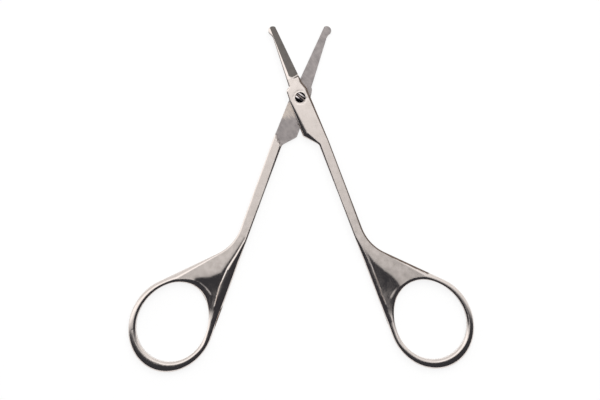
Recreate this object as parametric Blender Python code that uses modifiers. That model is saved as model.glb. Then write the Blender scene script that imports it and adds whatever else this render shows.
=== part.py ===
"""Facial scissors with blunt safety tips: two forged steel halves and the slotted screw they turn on.

Each half is made the way the real one is: a blank with rounded edges, a finger hole through its
ring, an inner face ground back to half the thickness, a ground facet with a plunge shoulder, and a
drilled hole for the screw. A half is drawn closed in its own frame: the pivot at the origin, the
blade along +Y, the ring on the +X side, and z = 0 midway through the thickness. The rear half is the
same shape turned over. Units are metres, +Z is up, and the scissors lie on the plane z = 0 with the
point under the middle of their outline at the origin.
"""

import math
from dataclasses import dataclass

import bmesh
import bpy
from mathutils import Matrix, Vector

# How far each half is turned from closed, and what lies between the pieces
HALF_OPENING = math.radians(20.47)
PLATE_GAP = 0.0002
RUNNING_GAP = 0.0001
SEAT_GAP = 0.0002
STEP_GAP = 0.0007
HANDLE_GAP = 0.00063
FOOT_GAP = 0.0004

# Blade
PLATE_THICK = 0.0014
BLADE_REACH = 0.02005
EDGE_TIP_X = 0.0005
EDGE_HEEL_X = 0.00163
HEEL_Y = 0.00555
EDGE_THICK = 0.00015
FACET_WIDTH = 0.0024
FACET_CORNER = 0.0008
FACET_START = 0.00045
TIP_DROP = 0.0005
BEAD_RADIUS = 0.0012
BEAD_X = -0.00047
BEAD_CORNER = math.radians(38)
NECK_ROUND = 0.0023
SPINE_NECK_X = -0.0010
SPINE_HEEL_X = -0.00181

# Pivot plate, with what the rear half's plate has less of
PLATE_TOP_Y = 0.0035
PLATE_FRONT_X = 0.00244
BACK_TOP_X = -0.0028
BACK_X = -0.00295
CORNER_Y = -0.00988
SHOULDER_FOOT_Y = -0.01323
REAR_TOP_INSET = 0.0006
REAR_BACK_INSET = 0.00025
REAR_CORNER_DROP = 0.0002
BACK_ROUND = 0.0011
NOTCH_ROUND = 0.0004
CORNER_ROUND = 0.0009
FOOT_ROUND = 0.0016

# Finger ring, whose outline and egg-shaped hole are tilted towards the other ring, with what the rear
# half's ring has more of
RING_REACH = 0.0672
RING_HALF_WIDTH = 0.01079
RING_HALF_LENGTH = 0.01248
RING_TILT = math.radians(5.8)
REAR_RING_DROP = 0.00026
REAR_RING_WIDER = 0.00014
REAR_RING_LONGER = 0.00025
HOLE_FROM_RING = Vector((-0.00014, 0.0008))
HOLE_HALF_WIDTH = 0.00912
HOLE_HALF_LENGTH = 0.01075
HOLE_EGG = -0.00015
HOLE_LOBES = 3
HOLE_TILT = math.radians(7.9)

# Shank and flare
SHANK_WIDTH = 0.0026
FLARE_ABOVE_RING = 0.02485
FLARE_ROUND = 0.0115
SOFTEN_LENGTH = 0.0150

# Rounding of the blank's rim: at the blade and shank, at the plate's back, and at the ring
THIN_RIM = 0.00025
BACK_RIM = 0.0004
RING_RIM = 0.0006
RIM_SEGMENTS = 3

# Screw
SHAFT_RADIUS = 0.00085
HEAD_RADIUS = 0.00127
HEAD_SINK = 0.0001
HEAD_DOME = 0.0003
SLOT_WIDTH = 0.0005
SLOT_DEPTH = 0.0004
SLOT_ANGLE = math.radians(-37)
END_CHAMFER = 0.0001

# Fineness of the curves
CORNER_STEPS = 6
BEAD_STEPS = 12
RING_STEPS = 60
HOLE_STEPS = 64
TURN_STEPS = 48
SOFTEN_STEP = 0.0006
CUT_MARGIN = 0.002
CUTTER_OVERSIZE = 3
SAME_PLACE = 1e-6
NEARLY_STRAIGHT = math.radians(88)
SHARP_FROM = math.radians(30)

THICKNESS = 2 * PLATE_THICK + PLATE_GAP
HANDLE_X = HANDLE_GAP / 2
FOOT_X = FOOT_GAP / 2
SHANK_OUTER_X = HANDLE_X + SHANK_WIDTH
FLARE_Y = FLARE_ABOVE_RING - RING_REACH
SOFTEN_START_Y = FLARE_Y + SOFTEN_LENGTH


@dataclass(frozen=True)
class HalfSizes:
    """The sizes in which the two forged halves differ: the plate's back edge and the ring's outline."""

    back_top_x: float
    back_x: float
    corner_y: float
    ring_y: float
    ring_half_width: float
    ring_half_length: float


FRONT = HalfSizes(BACK_TOP_X, BACK_X, CORNER_Y, -RING_REACH, RING_HALF_WIDTH, RING_HALF_LENGTH)
REAR = HalfSizes(
    BACK_TOP_X + REAR_TOP_INSET,
    BACK_X + REAR_BACK_INSET,
    CORNER_Y - REAR_CORNER_DROP,
    -RING_REACH - REAR_RING_DROP,
    RING_HALF_WIDTH + REAR_RING_WIDER,
    RING_HALF_LENGTH + REAR_RING_LONGER,
)


def clear_scene():
    """Remove every object of the scene."""
    for obj in list(bpy.data.objects):
        bpy.data.objects.remove(obj, do_unlink=True)


def new_collection(name):
    """Add a collection to the scene."""
    collection = bpy.data.collections.new(name)
    bpy.context.scene.collection.children.link(collection)
    return collection


def new_material(name, colour, roughness):
    """A metal given by its colour and roughness."""
    material = bpy.data.materials.new(name)
    material.use_nodes = True
    shader = material.node_tree.nodes["Principled BSDF"]
    shader.inputs["Base Color"].default_value = (*colour, 1.0)
    shader.inputs["Metallic"].default_value = 1.0
    shader.inputs["Roughness"].default_value = roughness
    return material


class Ellipse:
    """A tilted ellipse, for the outline of a finger ring and for its hole."""

    def __init__(self, centre, half_width, half_length, tilt):
        self.centre = Vector(centre)
        self.half_width = half_width
        self.half_length = half_length
        self.tilt = tilt

    def point(self, turn, grow=0.0):
        """The point at a turn, on the ellipse grown by an amount."""
        across = (self.half_width + grow) * math.cos(turn)
        along = (self.half_length + grow) * math.sin(turn)
        return self.centre + Vector((across, along)) @ turned_back(self.tilt)

    def reach(self, direction):
        """How far the ellipse reaches from its centre along a unit direction."""
        own = direction @ turned_back(-self.tilt)
        return math.hypot(self.half_width * own.x, self.half_length * own.y)

    def turn_towards(self, direction):
        """The turn of the point that lies furthest along a direction."""
        own = direction @ turned_back(-self.tilt)
        return math.atan2(self.half_length * own.y, self.half_width * own.x)

    def turn_of_tangent(self, outside):
        """The turn at which the line from an outside point touches the ellipse on its outer side."""
        own = (outside - self.centre) @ turned_back(-self.tilt)
        unit = Vector((own.x / self.half_width, own.y / self.half_length))
        return math.atan2(unit.y, unit.x) - math.acos(1 / unit.length)


def turned_back(angle):
    """The matrix that turns a row vector by an angle."""
    return Matrix.Rotation(-angle, 2)


def ring_ellipse(sizes):
    """The outline of the ring, whose inner side touches the handle's straight inner line."""
    ring = Ellipse((0, sizes.ring_y), sizes.ring_half_width, sizes.ring_half_length, RING_TILT)
    ring.centre.x = HANDLE_X + ring.reach(Vector((1, 0)))
    return ring


def hole_ellipse(sizes):
    """The outline of the finger hole."""
    centre = ring_ellipse(sizes).centre + HOLE_FROM_RING
    return Ellipse(centre, HOLE_HALF_WIDTH, HOLE_HALF_LENGTH, HOLE_TILT)


def bead_centre():
    """The middle of the blunt tip."""
    return Vector((BEAD_X, BLADE_REACH - BEAD_RADIUS))


def spine_x(y):
    """The spine's place across the blade, on a straight line from the neck to the heel."""
    share = (y - PLATE_TOP_Y) / (BLADE_REACH - PLATE_TOP_Y)
    return SPINE_HEEL_X + share * (SPINE_NECK_X - SPINE_HEEL_X)


def arc(centre, radius, start, end, steps):
    """Points on an arc, both ends included."""
    turns = [start + (end - start) * step / steps for step in range(steps + 1)]
    return [centre + radius * Vector((math.cos(turn), math.sin(turn))) for turn in turns]


def rounded_corner(before, corner, after, radius):
    """Points of the arc that rounds a corner, or the corner alone when its radius is zero."""
    back = (before - corner).normalized()
    ahead = (after - corner).normalized()
    half_angle = back.angle(ahead) / 2
    if radius == 0 or half_angle > NEARLY_STRAIGHT:
        return [corner]
    centre = corner + (back + ahead).normalized() * radius / math.sin(half_angle)
    start = corner + back * radius / math.tan(half_angle) - centre
    sweep = start.angle_signed(corner + ahead * radius / math.tan(half_angle) - centre)
    first = math.atan2(start.y, start.x)
    return arc(centre, radius, first, first - sweep, CORNER_STEPS)


def trace(corners):
    """Outline points with their rim roundings, from corners of (point, corner radius, rim)."""
    traced = []
    count = len(corners)
    for index, (corner, radius, rim) in enumerate(corners):
        before = corners[index - 1][0]
        after = corners[(index + 1) % count][0]
        traced += [(point, rim) for point in rounded_corner(before, corner, after, radius)]
    return traced


def softened(traced):
    """The outline in points, each with the rim of the edge after it.

    Where the rim changes, points are added, so that it changes little by little and only between edges
    that lie in line.
    """
    fine = []
    for (point, rim), (ahead, rim_ahead) in zip(traced, traced[1:] + traced[:1]):
        steps = 1
        if rim != rim_ahead:
            steps = max(2, math.ceil((ahead - point).length / SOFTEN_STEP))
        for step in range(steps):
            changed = step / max(1, steps - 1) * (rim_ahead - rim)
            fine.append((point.lerp(ahead, step / steps), rim + changed))
    return fine


def neck_and_bead():
    """The hollow neck behind the tip and the round bead of the tip, from the spine to the edge."""
    bead = bead_centre()
    neck_x = spine_x(bead.y - BEAD_RADIUS) - NECK_ROUND
    reach = BEAD_RADIUS + NECK_ROUND
    neck = Vector((neck_x, bead.y - math.sqrt(reach**2 - (bead.x - neck_x) ** 2)))
    across = math.atan2(bead.y - neck.y, bead.x - neck.x)
    hollow = arc(neck, NECK_ROUND, 0, across, CORNER_STEPS)
    round_tip = arc(bead, BEAD_RADIUS, across + math.pi, BEAD_CORNER, BEAD_STEPS)
    return hollow[:-1] + round_tip


def blank_outline(sizes):
    """The outline of a half, clockwise from the tip end of its cutting edge."""
    ring = ring_ellipse(sizes)
    flare = Vector((SHANK_OUTER_X, FLARE_Y))
    first = ring.turn_of_tangent(flare)
    last = ring.turn_towards(Vector((-1, 0))) - 2 * math.pi
    ring_turns = [first + (last - first) * step / RING_STEPS for step in range(RING_STEPS + 1)]
    edge_tip_y = bead_centre().y + BEAD_RADIUS * math.sin(BEAD_CORNER) / 2
    corners = [
        (Vector((EDGE_TIP_X, edge_tip_y)), 0, THIN_RIM),
        (Vector((EDGE_HEEL_X, HEEL_Y)), 0, THIN_RIM),
        (Vector((EDGE_HEEL_X + NOTCH_ROUND / 2, PLATE_TOP_Y)), BACK_ROUND, THIN_RIM),
        (Vector((PLATE_FRONT_X, PLATE_TOP_Y / 2)), BACK_ROUND, THIN_RIM),
        (Vector((SHANK_OUTER_X, SHOULDER_FOOT_Y)), 0, THIN_RIM),
        (Vector((SHANK_OUTER_X, SOFTEN_START_Y)), 0, THIN_RIM),
        (flare, FLARE_ROUND, RING_RIM),
    ]
    corners += [(ring.point(turn), 0, RING_RIM) for turn in ring_turns]
    corners += [
        (Vector((HANDLE_X, FLARE_Y)), 0, RING_RIM),
        (Vector((HANDLE_X, SOFTEN_START_Y)), 0, THIN_RIM),
        (Vector((FOOT_X, SHOULDER_FOOT_Y)), FOOT_ROUND, THIN_RIM),
        (Vector((sizes.back_x, sizes.corner_y)), CORNER_ROUND, RING_RIM),
        (Vector((sizes.back_x, 0)), BACK_ROUND, BACK_RIM),
        (Vector((sizes.back_top_x, PLATE_TOP_Y - NOTCH_ROUND)), BACK_ROUND, BACK_RIM),
        (Vector((SPINE_HEEL_X, PLATE_TOP_Y)), NOTCH_ROUND, BACK_RIM),
    ]
    corners += [(point, 0, THIN_RIM) for point in neck_and_bead()]
    return softened(trace(corners))


def extruded(name, points, low, high, collection):
    """A flat outline made solid from one height to another."""
    curve = bpy.data.curves.new(name, "CURVE")
    curve.dimensions = "2D"
    curve.fill_mode = "BOTH"
    curve.extrude = (high - low) / 2
    spline = curve.splines.new("POLY")
    spline.points.add(len(points) - 1)
    for slot, point in zip(spline.points, points):
        slot.co = point.to_3d().to_4d()
    spline.use_cyclic_u = True
    holder = bpy.data.objects.new(name, curve)
    collection.objects.link(holder)
    evaluated = holder.evaluated_get(bpy.context.evaluated_depsgraph_get())
    mesh = bpy.data.meshes.new_from_object(evaluated)
    bpy.data.objects.remove(holder)
    solid = bmesh.new()
    solid.from_mesh(mesh)
    bmesh.ops.remove_doubles(solid, verts=solid.verts, dist=SAME_PLACE)
    flat = [face for face in solid.faces if len(face.verts) == 3]
    inner = [edge for edge in solid.edges if all(face in flat for face in edge.link_faces)]
    bmesh.ops.dissolve_edges(solid, edges=inner)
    bmesh.ops.recalc_face_normals(solid, faces=solid.faces)
    bmesh.ops.translate(solid, verts=solid.verts, vec=(0, 0, (high + low) / 2))
    solid.to_mesh(mesh)
    solid.free()
    obj = bpy.data.objects.new(name, mesh)
    collection.objects.link(obj)
    return obj


def turned(name, profile, collection):
    """A solid of revolution from a profile of (radius, height), top to bottom."""
    mesh = bpy.data.meshes.new(name)
    points = [(radius, 0, height) for radius, height in profile]
    mesh.from_pydata(points, [(at, at + 1) for at in range(len(points) - 1)], [])
    obj = bpy.data.objects.new(name, mesh)
    collection.objects.link(obj)
    spin = obj.modifiers.new("turn", "SCREW")
    spin.axis = "Z"
    spin.steps = TURN_STEPS
    spin.render_steps = TURN_STEPS
    spin.use_merge_vertices = True
    spin.merge_threshold = SAME_PLACE
    return obj


def make_cutter(obj, owner):
    """Turn an object into a cutter that moves with its owner."""
    obj.parent = owner
    obj.hide_render = True
    obj.display_type = "WIRE"
    cut = owner.modifiers.new(obj.name, "BOOLEAN")
    cut.operation = "DIFFERENCE"
    cut.solver = "EXACT"
    cut.object = obj


def round_rim(blank, rims):
    """Round the rim of a blank with a bevel whose width follows the rim given for each edge."""
    widest = max(rim for _, rim in rims)
    middles = [((point + ahead) / 2, rim) for (point, rim), (ahead, _) in zip(rims, rims[1:] + rims[:1])]
    mesh = blank.data
    weights = mesh.attributes.new("bevel_weight_edge", "FLOAT", "EDGE")
    for edge in mesh.edges:
        low, high = (mesh.vertices[index].co for index in edge.vertices)
        if abs(low.z - high.z) > SAME_PLACE:
            continue
        middle = ((low + high) / 2).to_2d()
        nearest = min(middles, key=lambda entry: (entry[0] - middle).length_squared)
        weights.data[edge.index].value = nearest[1] / widest
    bevel = blank.modifiers.new("rim", "BEVEL")
    bevel.limit_method = "WEIGHT"
    bevel.use_clamp_overlap = False
    bevel.width = widest
    bevel.segments = RIM_SEGMENTS


def hole_cutter(name, sizes, collection):
    """The finger hole as a spool of ellipses, wider at both faces so that the rim comes out round."""
    hole = hole_ellipse(sizes)
    levels = []
    for step in range(RIM_SEGMENTS):
        turn = step * math.pi / 2 / RIM_SEGMENTS
        height = THICKNESS / 2 - RING_RIM * (1 - math.sin(turn))
        levels.append((height, RING_RIM * (1 - math.cos(turn))))
    height, grow = levels[-1]
    levels.append((THICKNESS - height, 2 * RING_RIM - grow))
    levels = [(-height, grow) for height, grow in reversed(levels)] + levels
    solid = bmesh.new()
    rings = []
    for height, grow in levels:
        turns = [2 * math.pi * step / HOLE_STEPS for step in range(HOLE_STEPS)]
        spots = [hole.point(turn, grow + HOLE_EGG * math.sin(HOLE_LOBES * turn)) for turn in turns]
        rings.append([solid.verts.new((*spot, height)) for spot in spots])
    for low, high in zip(rings, rings[1:]):
        for step in range(HOLE_STEPS):
            ahead = (step + 1) % HOLE_STEPS
            solid.faces.new((low[step], low[ahead], high[ahead], high[step]))
    solid.faces.new(reversed(rings[0]))
    solid.faces.new(rings[-1])
    mesh = bpy.data.meshes.new(name)
    solid.to_mesh(mesh)
    solid.free()
    obj = bpy.data.objects.new(name, mesh)
    collection.objects.link(obj)
    return obj


def layer_cutter(name, other, collection):
    """What is ground off the inner face, down to a step beside the other half's shoulder when closed."""
    corner = Vector((-other.back_x, other.corner_y))
    foot = Vector((-FOOT_X, SHOULDER_FOOT_Y))
    along = (corner - foot).normalized()
    away = Vector((along.y, -along.x))
    start = foot + away * STEP_GAP + along * SHOULDER_FOOT_Y
    end = foot + away * STEP_GAP - along * SHOULDER_FOOT_Y
    top = BLADE_REACH + CUT_MARGIN
    points = [start, end, Vector((end.x, top)), Vector((start.x, top))]
    return extruded(name, points, -THICKNESS / 2 - CUT_MARGIN, PLATE_GAP / 2, collection)


def facet_cutter(name, collection):
    """What is ground off the outer face: a slope from the edge up to the ridge, with a plunge shoulder."""
    rise = PLATE_THICK - EDGE_THICK
    slope = math.atan2(rise, FACET_WIDTH)
    heel = Vector((EDGE_HEEL_X, HEEL_Y))
    edge = Vector((EDGE_TIP_X, BLADE_REACH)) - heel
    ridge = math.hypot(rise, FACET_WIDTH) + FACET_CORNER / 4
    length = edge.length + CUT_MARGIN
    corners = [
        (Vector((-ridge, FACET_START)), FACET_CORNER, 0),
        (Vector((-ridge, length)), 0, 0),
        (Vector((CUT_MARGIN, length)), 0, 0),
        (Vector((CUT_MARGIN, FACET_START)), 0, 0),
    ]
    points = [point for point, _ in trace(corners)]
    obj = extruded(name, points, 0, THICKNESS, collection)
    lean = math.atan2(-edge.x, edge.y)
    place = Matrix.Translation((heel.x, heel.y, PLATE_GAP / 2 + EDGE_THICK))
    obj.data.transform(place @ Matrix.Rotation(lean, 4, "Z") @ Matrix.Rotation(slope, 4, "Y"))
    return obj


def taper_cutter(name, collection):
    """What thins the blade evenly from its heel to its tip."""
    length = BLADE_REACH - HEEL_Y
    drop = math.atan2(TIP_DROP, length)
    solid = bmesh.new()
    bmesh.ops.create_cube(solid, size=1)
    bmesh.ops.translate(solid, verts=solid.verts, vec=(0, 0, 0.5))
    width = EDGE_HEEL_X - SPINE_HEEL_X
    size = Vector((width, length, THICKNESS)) * CUTTER_OVERSIZE
    bmesh.ops.scale(solid, verts=solid.verts, vec=size)
    mesh = bpy.data.meshes.new(name)
    solid.to_mesh(mesh)
    solid.free()
    mesh.transform(Matrix.Translation((0, HEEL_Y, THICKNESS / 2)) @ Matrix.Rotation(-drop, 4, "X"))
    obj = bpy.data.objects.new(name, mesh)
    collection.objects.link(obj)
    return obj


def screw_hole_profile(countersunk):
    """The profile of the screw's hole, with a countersink for the head in the front half."""
    top = THICKNESS / 2 + CUT_MARGIN
    bore = SHAFT_RADIUS + RUNNING_GAP
    if not countersunk:
        return [(0, top), (bore, top), (bore, -top), (0, -top)]
    mouth = HEAD_RADIUS + SEAT_GAP + HEAD_SINK + CUT_MARGIN
    return [(0, top), (mouth, top), (bore, top - (mouth - bore)), (bore, -top), (0, -top)]


def make_half(name, sizes, other, countersunk, steel, parts, cutters):
    """One half of the scissors, in its own closed frame."""
    rims = blank_outline(sizes)
    points = [point for point, _ in rims]
    half = extruded(name, points, -THICKNESS / 2, THICKNESS / 2, parts)
    half.data.materials.append(steel)
    round_rim(half, rims)
    make_cutter(hole_cutter(name + "_finger_hole", sizes, cutters), half)
    make_cutter(layer_cutter(name + "_inner_grind", other, cutters), half)
    make_cutter(taper_cutter(name + "_taper_grind", cutters), half)
    make_cutter(facet_cutter(name + "_facet_grind", cutters), half)
    make_cutter(turned(name + "_screw_hole", screw_hole_profile(countersunk), cutters), half)
    half.data.shade_smooth()
    half.data.set_sharp_from_angle(angle=SHARP_FROM)
    return half


def screw_profile():
    """The profile of the screw: domed head, countersunk underside, shaft flush with the rear face."""
    rim = THICKNESS / 2 - HEAD_SINK
    dome = (HEAD_RADIUS**2 + HEAD_DOME**2) / (2 * HEAD_DOME)
    profile = []
    for step in range(CORNER_STEPS + 1):
        radius = HEAD_RADIUS * step / CORNER_STEPS
        profile.append((radius, rim + HEAD_DOME - dome + math.sqrt(dome**2 - radius**2)))
    end = -THICKNESS / 2
    profile += [
        (SHAFT_RADIUS, rim - (HEAD_RADIUS - SHAFT_RADIUS)),
        (SHAFT_RADIUS, end + END_CHAMFER),
        (SHAFT_RADIUS - END_CHAMFER, end),
        (0, end),
    ]
    return profile


def slot_cutter(name, collection):
    """The driver slot across the head."""
    solid = bmesh.new()
    bmesh.ops.create_cube(solid, size=1)
    bmesh.ops.translate(solid, verts=solid.verts, vec=(0, 0, 0.5))
    bmesh.ops.scale(solid, verts=solid.verts, vec=(CUTTER_OVERSIZE * HEAD_RADIUS, SLOT_WIDTH, THICKNESS))
    mesh = bpy.data.meshes.new(name)
    solid.to_mesh(mesh)
    solid.free()
    floor = THICKNESS / 2 - HEAD_SINK + HEAD_DOME - SLOT_DEPTH
    mesh.transform(Matrix.Translation((0, 0, floor)) @ Matrix.Rotation(SLOT_ANGLE, 4, "Z"))
    obj = bpy.data.objects.new(name, mesh)
    collection.objects.link(obj)
    return obj


def make_screw(steel, parts, cutters):
    """The pivot screw."""
    screw = turned("pivot_screw", screw_profile(), parts)
    screw.data.materials.append(steel)
    make_cutter(slot_cutter("driver_slot", cutters), screw)
    return screw


def spread(sizes):
    """How far a half reaches sideways, up and down from the pivot when the scissors are open."""
    turn = Matrix.Rotation(HALF_OPENING, 2)
    ring = ring_ellipse(sizes)
    middle = turn @ ring.centre
    sideways = middle.x + ring.reach(Vector((1, 0)) @ turn)
    up = (turn @ bead_centre()).y + BEAD_RADIUS
    down = middle.y - ring.reach(Vector((0, -1)) @ turn)
    return sideways, up, down


def pivot_place():
    """Where the pivot lies, so that the middle of the outline is at the origin."""
    right, up, front_down = spread(FRONT)
    left, _, rear_down = spread(REAR)
    return Vector(((left - right) / 2, -(up + min(front_down, rear_down)) / 2, THICKNESS / 2))


def build():
    """Build the scissors, open on the table."""
    clear_scene()
    parts = new_collection("facial_scissors")
    cutters = new_collection("cutters")
    steel = new_material("polished_stainless_steel", (0.70, 0.67, 0.64), 0.16)
    ground = new_material("ground_stainless_steel", (0.62, 0.60, 0.58), 0.22)
    dark = new_material("dark_polished_steel", (0.22, 0.22, 0.25), 0.12)
    pivot = bpy.data.objects.new("pivot", None)
    parts.objects.link(pivot)
    pivot.location = pivot_place()
    front = make_half("front_half", FRONT, REAR, True, steel, parts, cutters)
    rear = make_half("rear_half", REAR, FRONT, False, ground, parts, cutters)
    screw = make_screw(dark, parts, cutters)
    front.rotation_euler = (0, 0, HALF_OPENING)
    rear.rotation_euler = (0, math.pi, -HALF_OPENING)
    for piece in (front, rear, screw):
        piece.parent = pivot


build()
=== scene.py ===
"""Looks of a pair of facial scissors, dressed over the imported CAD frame.

Each half is one forging: a flat sheet in the half's outline carries a few measures of how the metal was
rounded, hollowed and ground, and a Geometry Nodes tree turns those measures into the two faces of the
steel. The pivot screw is turned from a profile in the same way. Lengths are metres; a half is drawn
closed, with the pivot at the origin, the blade along +Y and the ring on the +X side.
"""

import logging
import math
from dataclasses import dataclass, field, replace
from enum import Enum

import bpy
import numpy as np
from mathutils import Matrix, Vector
from mathutils.geometry import delaunay_2d_cdt
from mathutils.kdtree import KDTree


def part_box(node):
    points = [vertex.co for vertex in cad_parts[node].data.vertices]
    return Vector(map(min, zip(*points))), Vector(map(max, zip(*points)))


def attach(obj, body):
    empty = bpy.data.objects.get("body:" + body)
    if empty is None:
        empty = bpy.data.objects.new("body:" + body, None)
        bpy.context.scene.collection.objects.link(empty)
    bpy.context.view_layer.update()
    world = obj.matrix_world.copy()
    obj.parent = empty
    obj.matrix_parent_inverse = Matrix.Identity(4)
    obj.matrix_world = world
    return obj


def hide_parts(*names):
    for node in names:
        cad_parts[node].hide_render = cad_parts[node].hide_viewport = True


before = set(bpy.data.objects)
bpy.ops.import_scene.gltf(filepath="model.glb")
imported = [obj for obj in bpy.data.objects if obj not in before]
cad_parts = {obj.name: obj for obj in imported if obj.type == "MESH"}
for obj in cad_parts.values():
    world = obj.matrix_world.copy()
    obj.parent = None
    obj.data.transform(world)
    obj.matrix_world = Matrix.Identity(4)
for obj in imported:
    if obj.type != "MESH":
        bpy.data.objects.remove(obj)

LOG = logging.getLogger("facial_scissors")
MM = 0.001
MICRON = 1e-6
MATH = "ShaderNodeMath"
Profile = tuple[tuple[float, float], ...]
# Blender's noise stays near a half: one noise is spread over this much either way, and two added over that.
CLOUD_SPREAD = 0.15
TONE_SPREAD = 0.24
# A corner of an outline whose half angle is wider than this counts as straight.
STRAIGHT = math.radians(88)
# The rims of the two sheets that make a forging lie on each other, and are merged within this.
WELD = 1e-9


def linear(colour: str) -> tuple[float, float, float, float]:
    """Turn an sRGB hex colour into a linear one.

    Args:
        colour: six hex digits after a hash.

    Returns:
        Linear red, green, blue and an alpha of 1.
    """
    parts = [int(colour[at : at + 2], 16) / 255 for at in (1, 3, 5)]
    lit = [part / 12.92 if part <= 0.04045 else ((part + 0.055) / 1.055) ** 2.4 for part in parts]
    return (lit[0], lit[1], lit[2], 1.0)


def add_node(tree: bpy.types.NodeTree, kind: str, settings: dict | None = None) -> bpy.types.Node:
    """Add a node with its settings and links.

    Args:
        tree: the node tree.
        kind: the node's type name.
        settings: by property name, or by input name or number, a value, or the socket or node that feeds it.

    Returns:
        The new node.
    """
    node = tree.nodes.new(kind)
    for name, value in (settings or {}).items():
        feed = value.outputs[0] if isinstance(value, bpy.types.Node) else value
        if isinstance(name, str) and hasattr(node, name):
            setattr(node, name, value)
        elif isinstance(feed, bpy.types.NodeSocket):
            tree.links.new(feed, node.inputs[name])
        else:
            node.inputs[name].default_value = value
    return node


def pivot_place() -> Vector:
    """Find the pivot's place in the frame.

    Returns:
        The point of the pivot's axis that is half way through the steel.
    """
    low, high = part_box("pivot_screw")
    middle = (low + high) / 2
    return Vector((middle.x, middle.y, SHARED.thickness / 2))


class Grain(Enum):
    """Which way the lines of a ground or brushed face run, against the half's length."""

    ALONG = 0.0
    SLANTED = math.radians(62)
    ACROSS = math.radians(90)


@dataclass(frozen=True)
class SteelFinish:
    """How a face of the steel was finished, and what that does to the light."""

    name: str
    colour: str
    cloud_colour: str
    roughness: float
    cloud_roughness: float
    cloud_size: float
    # The lines of the grinding: which way they run, and how wide, long and deep they are.
    grain: Grain
    line_width: float
    line_length: float
    line_depth: float
    # The lighter band: below the pivot it starts, is full, fades and is gone.
    light_band_colour: str | None = None
    light_band_extent: tuple[float, float, float, float] = (1.0 * MM, 1.6 * MM, 2.4 * MM, 3.3 * MM)
    light_band_ragged: float = 4.6 * MM
    light_band_blotches: tuple[float, float] = (0.36, 0.54)
    light_band_least: float = 0.55

    def material(self, turn: float) -> bpy.types.Material:
        """Build the material.

        Args:
            turn: how far the half is turned from closed, for the direction of the lines.

        Returns:
            The material, with its lines and clouds on Object coordinates.
        """
        made = bpy.data.materials.new(f"{self.name}_{round(math.degrees(turn))}".replace("-", "m"))
        made.use_nodes = True
        tree = made.node_tree
        shader = tree.nodes["Principled BSDF"]
        shader.inputs["Metallic"].default_value = 1.0
        place = add_node(tree, "ShaderNodeTexCoord").outputs["Object"]
        ruled = add_node(
            tree,
            "ShaderNodeMapping",
            {
                "vector_type": "TEXTURE",
                "Vector": place,
                "Rotation": (0, 0, turn + self.grain.value),
                "Scale": (self.line_width, self.line_length, self.line_length),
            },
        )
        noise = "ShaderNodeTexNoise"
        lines = add_node(tree, noise, {"Vector": ruled, "Scale": 1.0, "Detail": 3.0, "Roughness": 0.6})
        size = 1 / self.cloud_size
        clouds = add_node(tree, noise, {"Vector": place, "Scale": size, "Detail": 4.0, "Roughness": 0.55})
        bump = add_node(
            tree, "ShaderNodeBump", {"Strength": 1.0, "Distance": self.line_depth, "Height": lines}
        )
        rough = add_node(
            tree,
            "ShaderNodeMapRange",
            {
                "Value": clouds,
                "From Min": 0.5 - CLOUD_SPREAD,
                "From Max": 0.5 + CLOUD_SPREAD,
                "To Min": self.roughness - self.cloud_roughness,
                "To Max": self.roughness + self.cloud_roughness,
            },
        )
        both = add_node(tree, MATH, {"operation": "ADD", 0: lines, 1: clouds})
        patches = add_node(
            tree,
            "ShaderNodeMapRange",
            {"Value": both, "From Min": 1 - TONE_SPREAD, "From Max": 1 + TONE_SPREAD},
        )
        tones = add_node(
            tree,
            "ShaderNodeMix",
            {"data_type": "RGBA", 0: patches, 6: linear(self.colour), 7: linear(self.cloud_colour)},
        )
        if self.light_band_colour:
            tones = self.lightened_band(tree, tones, lines, clouds)
        tree.links.new(tones.outputs[2], shader.inputs["Base Color"])
        tree.links.new(rough.outputs[0], shader.inputs["Roughness"])
        tree.links.new(bump.outputs[0], shader.inputs["Normal"])
        return made

    def lightened_band(
        self, tree: bpy.types.NodeTree, tones: bpy.types.Node, lines: bpy.types.Node, clouds: bpy.types.Node
    ) -> bpy.types.Node:
        """Brighten a band below the pivot.

        Args:
            tree: the material's nodes.
            tones: the node that mixes the colours without the band.
            lines: the lines' noise, which makes the band's lower edge ragged.
            clouds: the clouds' noise, which makes the band blotchy.

        Returns:
            The node that mixes the band in.
        """
        place = add_node(tree, "ShaderNodeTexCoord").outputs["Object"]
        along = add_node(tree, "ShaderNodeSeparateXYZ", {0: place}).outputs["Y"]
        below = add_node(tree, MATH, {"operation": "SUBTRACT", 0: pivot_place().y, 1: along})
        shifted = {"operation": "MULTIPLY_ADD", 0: lines, 1: -self.light_band_ragged, 2: below}
        ragged = add_node(tree, MATH, shifted)
        low, high = self.light_band_blotches
        blotches = {"Value": clouds, "From Min": low, "From Max": high, "To Min": self.light_band_least}
        share = add_node(tree, "ShaderNodeMapRange", blotches)
        starts, full, fades, gone = self.light_band_extent
        for reach, none, whole in ((below, starts, full), (ragged, gone, fades)):
            rise = add_node(
                tree,
                "ShaderNodeMapRange",
                {"interpolation_type": "SMOOTHSTEP", "Value": reach, "From Min": none, "From Max": whole},
            )
            share = add_node(tree, MATH, {"operation": "MULTIPLY", 0: share, 1: rise})
        mixed = {"data_type": "RGBA", 0: share, 6: tones.outputs[2], 7: linear(self.light_band_colour)}
        return add_node(tree, "ShaderNodeMix", mixed)


# The lines that a wheel or a belt leaves are some 0.02 mm apart, too fine to show in a picture of the whole
# scissors, so all the finishes draw them 0.1 to 0.2 mm apart.

# Stainless steel, forged, buffed on a felt wheel: a near mirror with faint lengthwise wheel marks.
BUFFED = SteelFinish(
    name="buffed_stainless_steel",
    colour="#DED6D2",
    cloud_colour="#D9D1CC",
    roughness=0.15,
    cloud_roughness=0.03,
    cloud_size=1.6 * MM,
    grain=Grain.ALONG,
    line_width=0.12 * MM,
    line_length=3 * MM,
    line_depth=0.35 * MICRON,
)
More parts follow.
